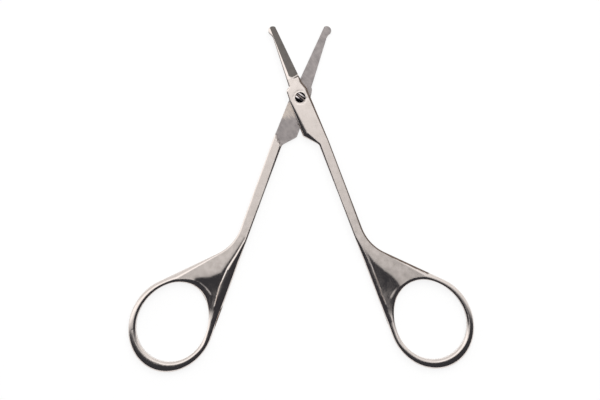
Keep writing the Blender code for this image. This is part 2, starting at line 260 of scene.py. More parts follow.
# The same steel off the grinding wheel, with fine lines across the blade: a dark grey facet, partly the
# ground steel's own grey and partly painted shade for the dark room that it mirrors.
GROUND_FACET_AND_SHADE = SteelFinish(
    name="ground_facet_and_painted_shade",
    colour="#777370",
    cloud_colour="#6E6A67",
    roughness=0.26,
    cloud_roughness=0.03,
    cloud_size=1.2 * MM,
    grain=Grain.ACROSS,
    line_width=0.10 * MM,
    line_length=2 * MM,
    line_depth=0.2 * MICRON,
)
# The flat inner faces, ground on a belt: dull grey with slanted lines, and a lighter, warmer band below the
# pivot.
BELTED = SteelFinish(
    name="belt_ground_stainless_steel",
    colour="#C5BEBD",
    cloud_colour="#B1ABAB",
    roughness=0.42,
    cloud_roughness=0.04,
    cloud_size=1.1 * MM,
    grain=Grain.SLANTED,
    line_width=0.2 * MM,
    line_length=2.4 * MM,
    line_depth=5 * MICRON,
    light_band_colour="#F4E8DE",
)
# The outer edges of the plate and shank: a thin brown-grey line of painted shade beside the buffed face.
EDGE_SHADE = SteelFinish(
    name="tumbled_stainless_edge",
    colour="#76685F",
    cloud_colour="#685B54",
    roughness=0.3,
    cloud_roughness=0.04,
    cloud_size=1.2 * MM,
    grain=Grain.ALONG,
    line_width=0.10 * MM,
    line_length=1 * MM,
    line_depth=0.5 * MICRON,
)
# The screw's hardened steel, turned and polished and bright; PivotScrew lays painted shade and painted
# highlight streaks over it.
SCREW = SteelFinish(
    name="turned_screw_steel",
    colour="#F4F4F8",
    cloud_colour="#DCDCE2",
    roughness=0.12,
    cloud_roughness=0.04,
    cloud_size=0.5 * MM,
    grain=Grain.SLANTED,
    line_width=0.08 * MM,
    line_length=1 * MM,
    line_depth=1.0 * MICRON,
)
# The finishes of a forging, in the order of its material slots.
FORGING_FINISHES = (BUFFED, GROUND_FACET_AND_SHADE, BELTED, EDGE_SHADE)


@dataclass(frozen=True)
class Ellipse:
    """A tilted ellipse."""

    centre: tuple[float, float]
    half_width: float
    half_length: float
    tilt: float
    lobes: float = 0.0

    def points(self, turns: np.ndarray) -> np.ndarray:
        """Points on the ellipse, pushed out in three lobes where it has any.

        Args:
            turns: the turns along it, in radians.

        Returns:
            One row of x and y for each turn.
        """
        pushed = self.lobes * np.sin(3 * turns)
        across = (self.half_width + pushed) * np.cos(turns)
        along = (self.half_length + pushed) * np.sin(turns)
        cos, sin = math.cos(self.tilt), math.sin(self.tilt)
        x = self.centre[0] + across * cos - along * sin
        y = self.centre[1] + across * sin + along * cos
        return np.column_stack((x, y))

    def own(self, x: float, y: float) -> tuple[float, float]:
        """A direction in the ellipse's own axes."""
        cos, sin = math.cos(self.tilt), math.sin(self.tilt)
        return x * cos + y * sin, y * cos - x * sin

    def reach(self, x: float, y: float) -> float:
        """How far the ellipse reaches from its centre along a unit direction."""
        across, along = self.own(x, y)
        return math.hypot(self.half_width * across, self.half_length * along)

    def turn_towards(self, x: float, y: float) -> float:
        """The turn of the point that lies furthest along a direction."""
        across, along = self.own(x, y)
        return math.atan2(self.half_length * along, self.half_width * across)

    def turn_of_tangent(self, x: float, y: float) -> float:
        """Find where the line from an outside point touches the ellipse on its outer side.

        Args:
            x: the point's x.
            y: the point's y.

        Returns:
            The turn of the place that it touches.
        """
        across, along = self.own(x - self.centre[0], y - self.centre[1])
        across, along = across / self.half_width, along / self.half_length
        return math.atan2(along, across) - math.acos(1 / math.hypot(across, along))


@dataclass
class Edge:
    """An edge of a forging, closed or open, with the width of its rounding at each point."""

    points: np.ndarray
    widths: np.ndarray
    closed: bool = True
    # So many spots are measured at once, which keeps the arrays small.
    at_once: int = 1000

    def nearest(self, spots: np.ndarray) -> tuple[np.ndarray, np.ndarray, np.ndarray]:
        """Find the nearest place on the edge.

        Args:
            spots: rows of x and y.

        Returns:
            For each spot, its distance to the edge, the width there, and the number of the edge's piece.
        """
        steps = np.roll(self.points, -1, axis=0) - self.points
        lengths = (steps**2).sum(axis=1)
        ahead = np.roll(self.widths, -1)
        found = []
        for first in range(0, len(spots), self.at_once):
            away = spots[first : first + self.at_once, None, :] - self.points[None]
            share = np.clip((away * steps).sum(axis=2) / lengths, 0, 1)
            gaps = ((away - share[..., None] * steps) ** 2).sum(axis=2)
            if not self.closed:
                gaps[:, -1] = math.inf
            best = gaps.argmin(axis=1)
            rows = np.arange(len(best))
            near = share[rows, best]
            width = (1 - near) * self.widths[best] + near * ahead[best]
            found.append(np.column_stack((np.sqrt(gaps[rows, best]), width, best)))
        whole = np.concatenate(found)
        return whole[:, 0], whole[:, 1], whole[:, 2].astype(int)

    def inward(self) -> np.ndarray:
        """Find the directions into the metal, which lies on the right of the edge's run.

        Returns:
            One unit direction for each point of the edge.
        """
        run = np.roll(self.points, -1, axis=0) - np.roll(self.points, 1, axis=0)
        run /= np.linalg.norm(run, axis=1)[:, None]
        return np.column_stack((run[:, 1], -run[:, 0]))

    def holds(self, spots: np.ndarray) -> np.ndarray:
        """Whether each spot lies inside the closed edge.

        Args:
            spots: rows of x and y.

        Returns:
            True for each spot inside.
        """
        ends = np.roll(self.points, -1, axis=0)
        inside = np.zeros(len(spots), bool)
        for start, end in zip(self.points, ends):
            if start[1] == end[1]:
                continue
            crossed = (start[1] > spots[:, 1]) != (end[1] > spots[:, 1])
            at = start[0] + (spots[:, 1] - start[1]) / (end[1] - start[1]) * (end[0] - start[0])
            inside ^= crossed & (spots[:, 0] < at)
        return inside

    def cut(self, point: np.ndarray, along: np.ndarray) -> list[np.ndarray]:
        """Add a point to the edge wherever a line crosses it.

        Args:
            point: a point on the line.
            along: the line's unit direction.

        Returns:
            The added points, in order along the line.
        """
        across = np.array((along[1], -along[0]))
        side = (self.points - point) @ across
        ahead = np.roll(side, -1)
        crossing = np.nonzero((side > 0) != (ahead > 0))[0]
        steps = np.roll(self.points, -1, axis=0) - self.points
        share = side[crossing] / (side[crossing] - ahead[crossing])
        added = self.points[crossing] + share[:, None] * steps[crossing]
        widths = (1 - share) * self.widths[crossing] + share * np.roll(self.widths, -1)[crossing]
        self.points = np.insert(self.points, crossing + 1, added, axis=0)
        self.widths = np.insert(self.widths, crossing + 1, widths)
        return sorted(added, key=lambda spot: float((spot - point) @ along))


def arc(centre: Vector, radius: float, start: float, end: float, steps: int) -> list[Vector]:
    """Points on an arc.

    Args:
        centre: the arc's centre.
        radius: its radius.
        start: the turn of its first point.
        end: the turn of its last point.
        steps: how many pieces it has.

    Returns:
        The points, both ends included.
    """
    turns = [start + (end - start) * step / steps for step in range(steps + 1)]
    return [centre + radius * Vector((math.cos(turn), math.sin(turn))) for turn in turns]


def rounded_corner(before: Vector, corner: Vector, after: Vector, radius: float, steps: int) -> list[Vector]:
    """Round a corner of an outline.

    Args:
        before: the corner before it.
        corner: the corner.
        after: the corner after it.
        radius: the rounding's radius, or zero for none.
        steps: how many pieces the rounding has.

    Returns:
        The points that take the corner's place.
    """
    back = (before - corner).normalized()
    ahead = (after - corner).normalized()
    half_angle = back.angle(ahead) / 2
    if radius == 0 or half_angle > STRAIGHT:
        return [corner]
    centre = corner + (back + ahead).normalized() * radius / math.sin(half_angle)
    start = corner + back * radius / math.tan(half_angle) - centre
    sweep = start.angle_signed(corner + ahead * radius / math.tan(half_angle) - centre)
    first = math.atan2(start.y, start.x)
    return arc(centre, radius, first, first - sweep, steps)


def smooth(value: np.ndarray, low: float, high: float) -> np.ndarray:
    """Rise smoothly from 0 at one value to 1 at another.

    Args:
        value: the values.
        low: where the rise starts.
        high: where it ends.

    Returns:
        The share risen.
    """
    share = np.clip((value - low) / (high - low), 0, 1)
    return share * share * (3 - 2 * share)


@dataclass(frozen=True)
class SharedSizes:
    """Sizes that both halves share with each other and with the CAD."""

    # The opening at rest, and how the two plates lie over each other.
    half_opening: float = math.radians(20.47)
    thickness: float = 3.0 * MM
    plate_gap: float = 0.2 * MM
    step_gap: float = 0.7 * MM
    # The blade: its cutting edge on +X, its spine on -X.
    blade_reach: float = 20.05 * MM
    edge_tip_x: float = 0.5 * MM
    edge_heel_x: float = 1.63 * MM
    heel_y: float = 5.55 * MM
    edge_thick: float = 0.15 * MM
    facet_slope: float = 1.25 / 2.4
    tip_drop: float = 0.5 * MM
    spine_neck_x: float = -1.0 * MM
    spine_heel_x: float = -1.81 * MM
    # The blunt bead at the tip and the hollow neck behind it.
    bead_radius: float = 1.2 * MM
    bead_x: float = -0.47 * MM
    bead_corner: float = math.radians(38)
    neck_round: float = 2.3 * MM
    # The plate round the pivot and its shoulder.
    plate_top_y: float = 3.5 * MM
    plate_front_x: float = 2.44 * MM
    shoulder_foot_y: float = -13.23 * MM
    foot_x: float = 0.2 * MM
    back_round: float = 1.1 * MM
    notch_round: float = 0.4 * MM
    corner_round: float = 0.9 * MM
    foot_round: float = 1.6 * MM
    bore: float = 0.95 * MM
    countersink: float = 1.4 * MM
    seat_groove: float = 1.66 * MM
    # The shank, the flare and the finger ring.
    handle_x: float = 0.315 * MM
    shank_width: float = 2.6 * MM
    soften_start_y: float = -27 * MM
    flare_y: float = -42.35 * MM
    flare_round: float = 11.5 * MM
    ring_tilt: float = math.radians(5.8)
    hole_from_ring: tuple[float, float] = (-0.14 * MM, 0.8 * MM)
    hole_half_width: float = 9.12 * MM
    hole_half_length: float = 10.75 * MM
    hole_egg: float = -0.15 * MM
    hole_tilt: float = math.radians(7.9)


SHARED = SharedSizes()


@dataclass
class ForgedHalf:
    """One half of the scissors: blade, pivot plate, shank, web and finger ring in one forging."""

    # Where the two halves differ. A bevel gives the width of the rounding by place along the edge, and a
    # fall is the line past which the web sinks.
    name: str
    node: str
    body: str
    turned_over: bool
    countersunk: bool
    back_top_x: float
    back_x: float
    corner_y: float
    ring_y: float
    ring_half_width: float
    ring_half_length: float
    other_back_x: float
    other_corner_y: float
    inner_bevel: Profile
    hole_bevel: Profile
    web_fall: Profile
    # The widths of the rim's rounding from the blade round to the plate's back, and how steep it gets.
    thin_rim: float = 0.25 * MM
    front_rim: float = 0.62 * MM
    side_rim: float = 0.28 * MM
    ring_rim: float = 1.75 * MM
    foot_rim: float = 0.55 * MM
    corner_rim: float = 1.6 * MM
    back_rim: float = 0.4 * MM
    bore_rim: float = 0.1 * MM
    thin_steepness: float = 0.55
    ring_steepness: float = 0.75
    deepest_rim: float = 1.2 * MM
    # How the ring's width is shared between the roundings of its two sides.
    outer_share: float = 0.6
    inner_side_more: float = 0.18
    inner_side_x: tuple[float, float] = (-7 * MM, -3.5 * MM)
    inner_side_y: tuple[float, float] = (-70 * MM, -66 * MM)
    # The hollow of the web, with the ridges that stay along the outline and the hole.
    web_slope: float = 0.17
    web_round: float = 0.35 * MM
    web_depth: float = 0.75 * MM
    web_top_y: float = -36 * MM
    web_end_y: float = -60 * MM
    web_end_length: float = 4 * MM
    ring_sinks_over: float = 13 * MM
    edge_valley: float = 0.25 * MM
    hole_valley: float = 0.45 * MM
    hole_ridge: float = 0.3
    # The ground facet of the blade, whose start bends back towards the spine.
    facet_start: float = 0.3 * MM
    facet_corner: float = 0.9 * MM
    facet_corner_from: float = 1.6 * MM
    facet_corner_over: float = 0.8 * MM
    facet_corner_most: float = 1.5
    facet_ramp: float = 0.6 * MM
    facet_clear: float = 0.05 * MM
    ridge_from: float = 1.3 * MM
    # The step of the inner face, the groove round the screw's seat, and the painted shade along the outer
    # edge.
    step_rim: float = 0.35 * MM
    step_wall: float = 0.01 * MM
    step_between_y: tuple[float, float] = (-16 * MM, -8 * MM)
    groove_depth: float = 0.03 * MM
    groove_width: float = 0.07 * MM
    edge_shade_to_y: float = SHARED.plate_top_y
    edge_shade_share: float = 0.75
    edge_shade_width: float = 0.45 * MM
    # How near a face must lie to a ground surface to be taken for it, and how much it must face its way.
    facing: float = 0.5
    facet_touch: float = 0.004 * MM
    facet_overlap: float = 0.1 * MM
    flat_touch: float = 0.001 * MM
    # The sheet: the spacing of its points, and its grids as spacing, lowest y and highest y.
    spacing: float = 0.2 * MM
    finest: float = 0.06 * MM
    hairline: float = 0.002 * MM
    row_room: float = 1.2
    cell_room: float = 1.6
    rim_room: float = 1.05
    bore_chord: float = 0.998
    grids: tuple[tuple[float, float, float], ...] = (
        (0.13 * MM, 4.6 * MM, math.inf),
        (0.18 * MM, -63 * MM, -38 * MM),
        (0.3 * MM, -math.inf, math.inf),
    )
    corner_steps: int = 10
    bead_steps: int = 24
    bore_steps: int = 72
    ring_steps: int = 300
    rim_rows: int = 8
    sharp_angle: float = math.radians(24)
    # The edges and seams, which follow from the sizes.
    outline: Edge = field(init=False)
    hole: Edge = field(init=False)
    bore: Edge = field(init=False)
    seams: list[list[np.ndarray]] = field(init=False, default_factory=list)

    def __post_init__(self) -> None:
        """Lay out the three edges and the lines on which the faces change."""
        self.outline = self.lay_outline()
        self.hole = self.lay_hole()
        turns = np.linspace(0, 2 * math.pi, self.bore_steps, endpoint=False)
        circle = np.column_stack((np.cos(turns), np.sin(turns)))
        self.bore = Edge(circle * SHARED.bore, np.full(len(turns), self.bore_rim))
        self.seams.append([*(circle * self.mouth()), circle[0] * self.mouth()])
        start, along, away = self.step_line()
        lowest, highest = self.step_between_y
        for shift in (-self.step_wall, self.step_wall):
            ends = self.outline.cut(start + away * shift, along)
            middle = [end for end in ends if lowest < end[1] < highest]
            self.seams.append(self.strip(middle[0], middle[-1]))
        self.seams.append(self.ridge_line())
        self.share_bands()

    def mouth(self) -> float:
        """The radius at which the bore opens into the outer face."""
        return SHARED.countersink if self.countersunk else SHARED.bore + self.bore_rim

    def ring(self) -> Ellipse:
        """The outline of the ring, whose inner side touches the handle's inner line."""
        ring = Ellipse((0, self.ring_y), self.ring_half_width, self.ring_half_length, SHARED.ring_tilt)
        return replace(ring, centre=(SHARED.handle_x + ring.reach(1, 0), self.ring_y))

    def lay_hole(self) -> Edge:
        """Lay out the finger hole, with the width of its rounding.

        Returns:
            The hole's edge.
        """
        ring = self.ring()
        centre = (ring.centre[0] + SHARED.hole_from_ring[0], ring.centre[1] + SHARED.hole_from_ring[1])
        hole = Ellipse(
            centre, SHARED.hole_half_width, SHARED.hole_half_length, SHARED.hole_tilt, SHARED.hole_egg
        )
        turns = np.linspace(0, 2 * math.pi, self.ring_steps, endpoint=False)
        degrees, widths = zip(*self.hole_bevel)
        return Edge(hole.points(turns), np.interp(np.degrees(turns), degrees, widths, period=360))

    def neck_and_bead(self) -> list[Vector]:
        """Lay out the hollow neck behind the blunt tip and the bead of the tip.

        Returns:
            Their points, from the spine to the cutting edge.
        """
        bead = Vector((SHARED.bead_x, SHARED.blade_reach - SHARED.bead_radius))
        share = (bead.y - SHARED.bead_radius - SHARED.plate_top_y) / (SHARED.blade_reach - SHARED.plate_top_y)
        spine = SHARED.spine_heel_x + share * (SHARED.spine_neck_x - SHARED.spine_heel_x)
        neck_x = spine - SHARED.neck_round
        reach = SHARED.bead_radius + SHARED.neck_round
        neck = Vector((neck_x, bead.y - math.sqrt(reach**2 - (bead.x - neck_x) ** 2)))
        across = math.atan2(bead.y - neck.y, bead.x - neck.x)
        hollow = arc(neck, SHARED.neck_round, 0, across, self.corner_steps)
        tip = arc(bead, SHARED.bead_radius, across + math.pi, SHARED.bead_corner, self.bead_steps)
        return hollow[:-1] + tip

    def lay_outline(self) -> Edge:
        """Lay out the half's outline clockwise, with the width of its rounding.

        Returns:
            The outline's edge.
        """
        sizes = SHARED
        ring = self.ring()
        outer_x = sizes.handle_x + sizes.shank_width
        first = ring.turn_of_tangent(outer_x, sizes.flare_y)
        last = ring.turn_towards(-1, 0) - 2 * math.pi
        bead_y = sizes.blade_reach - sizes.bead_radius
        edge_tip_y = bead_y + sizes.bead_radius * math.sin(sizes.bead_corner) / 2
        corners = [
            (sizes.edge_tip_x, edge_tip_y, 0, self.thin_rim),
            (sizes.edge_heel_x, sizes.heel_y, 0, self.thin_rim),
            (sizes.edge_heel_x + sizes.notch_round / 2, sizes.plate_top_y, sizes.back_round, self.front_rim),
            (sizes.plate_front_x, sizes.plate_top_y / 2, sizes.back_round, self.front_rim),
            (outer_x, sizes.shoulder_foot_y, 0, self.side_rim),
            (outer_x, sizes.soften_start_y, 0, self.side_rim),
            (outer_x, sizes.flare_y, sizes.flare_round, self.back_rim),
        ]
        turns = np.linspace(first, last, self.ring_steps)
        corners += [(x, y, 0, self.ring_rim) for x, y in ring.points(turns)]
        corners += [(sizes.handle_x, y, 0, width) for y, width in self.inner_bevel]
        corners += [
            (sizes.foot_x, sizes.shoulder_foot_y, sizes.foot_round, self.foot_rim),
            (self.back_x, self.corner_y, sizes.corner_round, self.corner_rim),
            (self.back_x, 0, sizes.back_round, self.back_rim),
            (self.back_top_x, sizes.plate_top_y - sizes.notch_round, sizes.back_round, self.back_rim),
            (sizes.spine_heel_x, sizes.plate_top_y, sizes.notch_round, self.back_rim),
        ]
        corners += [(point.x, point.y, 0, self.thin_rim) for point in self.neck_and_bead()]
        traced = []
        spots = [Vector(corner[:2]) for corner in corners]
        for at, (_, _, radius, width) in enumerate(corners):
            ahead = spots[(at + 1) % len(spots)]
            bend = rounded_corner(spots[at - 1], spots[at], ahead, radius, self.corner_steps)
            traced += [(point, width) for point in bend]
        fine = []
        for (point, width), (ahead, next_width) in zip(traced, traced[1:] + traced[:1]):
            steps = max(1, math.ceil((ahead - point).length / self.spacing))
            for step in range(steps):
                place = point.lerp(ahead, step / steps)
                fine.append((place.x, place.y, width + (next_width - width) * step / steps))
        laid = np.array(fine)
        return Edge(laid[:, :2], laid[:, 2])

    def share_bands(self) -> None:
        """Let the roundings of the ring's two sides meet between them, nearer to the hole's."""
        for edge, other, outer in ((self.outline, self.hole, True), (self.hole, self.outline, False)):
            gap, _, _ = other.nearest(edge.points)
            x, y = edge.points[:, 0], edge.points[:, 1]
            inner_side = smooth(-x, *self.inner_side_x) * smooth(y, *self.inner_side_y)
            share = self.outer_share + self.inner_side_more * inner_side
            edge.widths = np.minimum(edge.widths, gap * (share if outer else 1 - share))

    def step_line(self) -> tuple[np.ndarray, np.ndarray, np.ndarray]:
        """Lay the step of the inner face beside the other half's shoulder.

        Returns:
            A point on the step, the unit direction along it, and the one towards the full thickness.
        """
        corner = np.array((-self.other_back_x, self.other_corner_y))
        foot = np.array((-SHARED.foot_x, SHARED.shoulder_foot_y))
        along = (corner - foot) / np.linalg.norm(corner - foot)
        away = np.array((along[1], -along[0]))
        return foot + away * SHARED.step_gap, along, away

    def facet_axes(self) -> tuple[np.ndarray, np.ndarray, np.ndarray]:
        """Lay the axes in which the ground facet is measured.

        Returns:
            The heel of the cutting edge, the unit direction along it, and the one towards the spine.
        """
        heel = np.array((SHARED.edge_heel_x, SHARED.heel_y))
        along = np.array((SHARED.edge_tip_x, SHARED.blade_reach)) - heel
        along /= np.linalg.norm(along)
        return heel, along, np.array((-along[1], along[0]))

    def taper(self, y: np.ndarray) -> np.ndarray:
        """How much thinner the blade is at a place along it."""
        run = SHARED.blade_reach - SHARED.heel_y
        return SHARED.tip_drop * np.maximum(0, y - SHARED.heel_y) / run

    def ridge_line(self) -> list[np.ndarray]:
        """Lay the line on which the ground facet meets the outer face, up to the tip.

        Returns:
            The line's points.
        """
        heel, along, across = self.facet_axes()
        spots = []
        for run in (self.ridge_from, SHARED.blade_reach - SHARED.heel_y):
            width = 0.0
            for _ in range(6):  # the taper depends a little on the width, and settles in a few turns
                spot = heel + along * run + across * width
                rise = SHARED.thickness / 2 - self.taper(spot[1:])[0]
                width = (rise - SHARED.plate_gap / 2 - SHARED.edge_thick) / SHARED.facet_slope
            spots.append(heel + along * run + across * width)
        way = (spots[1] - spots[0]) / np.linalg.norm(spots[1] - spots[0])
        ends = self.outline.cut(spots[0], way)
        return self.strip(spots[0], ends[-1])

    def strip(self, start: np.ndarray, end: np.ndarray) -> list[np.ndarray]:
        """Points along a straight seam, no further apart than the sheet's spacing."""
        steps = max(1, math.ceil(float(np.linalg.norm(end - start)) / self.spacing))
        return [start + (end - start) * step / steps for step in range(steps + 1)]

    def measures(self, spots: np.ndarray) -> dict[str, np.ndarray]:
        """Measure how the metal is worked at each spot.

        Args:
            spots: rows of x and y.

        Returns:
            By name: the share and depth of the rim's rounding, the web's hollow, the blade's taper, and
            the heights that grinding leaves on the outer and the inner face.
        """
        x, y = spots[:, 0], spots[:, 1]
        edge_gap, edge_width, _ = self.outline.nearest(spots)
        hole_gap, hole_width, _ = self.hole.nearest(spots)
        edge_share = np.clip(1 - edge_gap / edge_width, 0, 1)
        hole_share = np.clip(1 - hole_gap / hole_width, 0, 1)
        by_edge = edge_share >= hole_share
        width = np.where(by_edge, edge_width, hole_width)
        grown = smooth(width, self.back_rim, 2 * self.back_rim)
        steepness = self.thin_steepness + (self.ring_steepness - self.thin_steepness) * grown
        hollow = self.hollow(spots, edge_gap - edge_width, hole_gap - hole_width)
        outer = self.ground_facet(spots)
        reach = np.hypot(x, y)
        outer = np.minimum(outer, SHARED.thickness / 2 - (self.mouth() - reach))
        if self.countersunk:
            turned = self.groove_depth * np.exp(-(((reach - SHARED.seat_groove) / self.groove_width) ** 2))
            outer = np.minimum(outer, SHARED.thickness / 2 - turned)
        start, _, away = self.step_line()
        beyond = (spots - start) @ away - self.step_wall
        share = np.clip(1 - beyond / self.step_rim, 0, 1)
        rounded = -SHARED.thickness / 2 + self.step_rim * (1 - np.sqrt(1 - share**2))
        inner = np.where(beyond < -self.step_wall, SHARED.plate_gap / 2, rounded)
        return {
            "rim_share": np.where(by_edge, edge_share, hole_share),
            "rim_depth": np.minimum(width * steepness, self.deepest_rim),
            "web_hollow": hollow,
            "blade_taper": self.taper(y),
            "outer_grind": outer,
            "inner_grind": inner,
        }

    def hollow(self, spots: np.ndarray, past_edge: np.ndarray, past_hole: np.ndarray) -> np.ndarray:
        """How deep the web is hollowed between the inner bevel, the ring and the flare.

        Args:
            spots: rows of x and y.
            past_edge: how far each spot is past the outline's rounding.
            past_hole: how far each spot is past the hole's rounding.

        Returns:
            The depth at each spot.
        """
        line = np.array(self.web_fall)
        gap, _, piece = Edge(line, np.ones(len(line)), closed=False).nearest(spots)
        run = line[piece + 1] - line[piece]
        away = spots - line[piece]
        side = np.sign(run[:, 1] * away[:, 0] - run[:, 0] * away[:, 1])
        within = gap * side
        fall = self.web_slope * (within + np.sqrt(within**2 + self.web_round**2)) / 2
        fall = self.web_depth * (1 - np.exp(-fall / self.web_depth))
        webbed = smooth(spots[:, 1], self.web_end_y, self.web_end_y + self.web_end_length)
        fall *= 1 - webbed + webbed * smooth(past_edge, 0, self.edge_valley)
        fall *= 1 - webbed * self.hole_ridge * (1 - smooth(past_hole, 0, self.hole_valley))
        fall *= smooth(spots[:, 1], self.web_end_y - self.ring_sinks_over, self.web_end_y)
        return np.where(spots[:, 1] < self.web_top_y, fall, 0)

    def facet_place(self, spots: np.ndarray) -> tuple[np.ndarray, np.ndarray]:
        """Place spots on the ground facet.

        Args:
            spots: rows of x and y.

        Returns:
            For each spot, its distance from the cutting edge, and how far it lies short of the facet's start,
            which bends back towards the spine.
        """
        heel, along, across = self.facet_axes()
        width = (spots - heel) @ across
        corner = (width - self.facet_corner_from) / self.facet_corner_over
        bend = self.facet_corner * np.clip(corner, 0, self.facet_corner_most) ** 2
        return width, self.facet_start + bend - (spots - heel) @ along

    def ground_facet(self, spots: np.ndarray) -> np.ndarray:
        """The height that the grinding wheel leaves on the outer face of the blade.

        Args:
            spots: rows of x and y.

        Returns:
            The height at each spot, above the face where nothing is ground.
        """
        width, short = self.facet_place(spots)
        slope = SHARED.plate_gap / 2 + SHARED.edge_thick + SHARED.facet_slope * np.maximum(0, width)
        ramp = np.clip(short / self.facet_ramp, 0, 1) ** 2
        top = SHARED.thickness / 2 + self.facet_clear
        return np.where(slope < top, slope + (top - slope) * ramp, top)

    def sheet_points(self) -> np.ndarray:
        """Scatter the sheet's inner points: rows along each rounded rim, and a grid between them.

        Returns:
            Rows of x and y.
        """
        rows = []
        for edge, first in ((self.outline, 1), (self.hole, 2), (self.bore, 2)):
            for row in range(first, self.rim_rows + 1):
                share = 1 - math.sin(math.radians(90) * (self.rim_rows - row) / self.rim_rows)
                spots = edge.points + edge.inward() * (edge.widths * share)[:, None]
                rows.append(self.metal(spots, 0, SHARED.bore + self.hairline))
        low, high = self.outline.points.min(axis=0), self.outline.points.max(axis=0)
        grids = []
        for step, floor, roof in self.grids:
            xs = np.arange(low[0], high[0], step)
            ys = np.arange(max(floor, low[1]), min(roof, high[1]), step * math.sqrt(3) / 2)
            grid_x, grid_y = np.meshgrid(xs, ys)
            grid_x = grid_x + (np.arange(len(ys)) % 2)[:, None] * step / 2
            grids.append(np.column_stack((grid_x.ravel(), grid_y.ravel())))
        free = self.metal(np.concatenate(grids), self.rim_room, SHARED.countersink + self.finest)
        return self.thinned(np.concatenate(rows), free)

    def metal(self, spots: np.ndarray, rims: float, bore: float) -> np.ndarray:
        """Keep the spots that lie in the metal.

        Args:
            spots: rows of x and y.
            rims: how many widths of the rounding they keep from the edges.
            bore: how far they keep from the pivot.

        Returns:
            The spots that are kept.
        """
        kept = self.outline.holds(spots) & ~self.hole.holds(spots)
        for edge in (self.outline, self.hole):
            gap, width, _ = edge.nearest(spots)
            kept &= gap > np.maximum(width * rims, self.hairline)
        kept &= np.hypot(spots[:, 0], spots[:, 1]) > bore
        return spots[kept]

    def thinned(self, kept: np.ndarray, spots: np.ndarray) -> np.ndarray:
        """Leave out grid points that crowd the rows, the seams or each other.

        Args:
            kept: points that stay.
            spots: points that are tried in turn.

        Returns:
            All points, the kept ones first.
        """
        fixed = [*kept, *(spot for seam in self.seams for spot in seam)]
        tree = KDTree(len(fixed))
        for at, spot in enumerate(fixed):
            tree.insert((*spot, 0), at)
        tree.balance()
        near = [spot for spot in spots if tree.find((*spot, 0))[2] > self.finest * self.row_room]
        cells = set()
        free = []
        for spot in near:
            cell = tuple(round(part / self.finest / self.cell_room) for part in spot)
            if cell not in cells:
                cells.add(cell)
                free.append(spot)
        return np.concatenate((kept, np.array(free)))

    def sheet(self) -> bpy.types.Object:
        """Make the flat sheet in the half's outline, with its measures as attributes.

        Returns:
            The sheet, which the tree then turns into the forging.
        """
        loops = [self.outline.points, self.hole.points, self.bore.points]
        chains = [*loops, *(np.array(seam) for seam in self.seams)]
        edges: list[tuple[int, int]] = []
        first = 0
        for at, chain in enumerate(chains):
            steps = len(chain) if at < len(loops) else len(chain) - 1
            edges += [(first + step, first + (step + 1) % len(chain)) for step in range(steps)]
            first += len(chain)
        spots = np.concatenate([*chains, self.sheet_points()])
        inside_only, nearness = 1, 1e-5
        found = delaunay_2d_cdt([Vector(spot / MM) for spot in spots], edges, [], inside_only, nearness)
        laid = np.array([tuple(point) for point in found[0]]) * MM
        faces = np.array([face for face in found[2] if len(face) == 3])
        middles = laid[faces].mean(axis=1)
        outside_bore = np.hypot(middles[:, 0], middles[:, 1]) > SHARED.bore * self.bore_chord
        faces = faces[~self.hole.holds(middles) & outside_bore]
        used, index = np.unique(faces, return_inverse=True)
        faces = index.reshape(faces.shape)
        laid = laid[used]
        mesh = bpy.data.meshes.new(self.name + "_sheet")
        mesh.from_pydata([(x, y, 0) for x, y in laid], [], faces.tolist())
        for name, values in self.measures(laid).items():
            mesh.attributes.new(name, "FLOAT", "POINT").data.foreach_set("value", values)
        obj = bpy.data.objects.new(self.name, mesh)
        bpy.context.scene.collection.objects.link(obj)
        return obj

    def finish_of(self, spots: np.ndarray, lookup: np.ndarray) -> np.ndarray:
        """Choose the finish of each face.

        Args:
            spots: the faces' middles.
            lookup: the faces' upward parts of their normals.

        Returns:
            The number of each face's finish in FORGING_FINISHES.
        """
        x, y, z = spots.T
        # The thin brown-grey line along the outer edge is painted shade.
        edge_shaded = (x > SHARED.bore) & (y > self.edge_shade_to_y) & (y < SHARED.heel_y)
        gap, rim, _ = self.outline.nearest(spots[edge_shaded, :2])
        edge_shaded[edge_shaded] = gap < np.minimum(self.edge_shade_share * rim, self.edge_shade_width)
        _, short = self.facet_place(spots[:, :2])
        on_facet = np.abs(self.ground_facet(spots[:, :2]) - z) < self.facet_touch
        on_facet &= (lookup > self.facing) & (short < self.facet_overlap)
        inner = (np.abs(z - SHARED.plate_gap / 2) < self.flat_touch) & (lookup < -self.facing)
        found = {BELTED: inner, GROUND_FACET_AND_SHADE: on_facet, EDGE_SHADE: edge_shaded}
        numbers = [FORGING_FINISHES.index(finish) for finish in found]
        return np.select(list(found.values()), numbers, FORGING_FINISHES.index(BUFFED))

    def placing(self) -> Matrix:
        """Work out how the half is opened and put on its pivot.

        Returns:
            The matrix that does both, and turns the rear half over.
        """
        place = Matrix.Translation(pivot_place())
        if self.turned_over:
            return place @ Matrix.Rotation(-SHARED.half_opening, 4, "Z") @ Matrix.Rotation(math.pi, 4, "Y")
        return place @ Matrix.Rotation(SHARED.half_opening, 4, "Z")

    def build(self) -> bpy.types.Object:
        """Build the forging and put it in its place in the frame.

        Returns:
            The finished piece.
        """
        turn = SHARED.half_opening * (-1 if self.turned_over else 1)
        finished = [finish.material(turn) for finish in FORGING_FINISHES]
        tree = forging_tree(finished[0])
        piece = realised(self.sheet(), tree, {"Thickness": SHARED.thickness}, self.name)
        mesh = piece.data
        spots, normals = (np.empty(len(mesh.polygons) * 3, np.float32) for _ in range(2))
        mesh.polygons.foreach_get("center", spots)
        mesh.polygons.foreach_get("normal", normals)
        finishes = self.finish_of(spots.reshape(-1, 3).astype(float), normals.reshape(-1, 3)[:, 2])
        mesh.materials.clear()  # the joined sheets brought an empty slot along
        for material in finished:
            mesh.materials.append(material)
        mesh.polygons.foreach_set("material_index", finishes.astype(np.int32))
        mesh.shade_smooth()
        mesh.set_sharp_from_angle(angle=self.sharp_angle)
        mesh.transform(self.placing())
        mesh.update()
        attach(piece, self.body)
        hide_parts(self.node)
        return piece


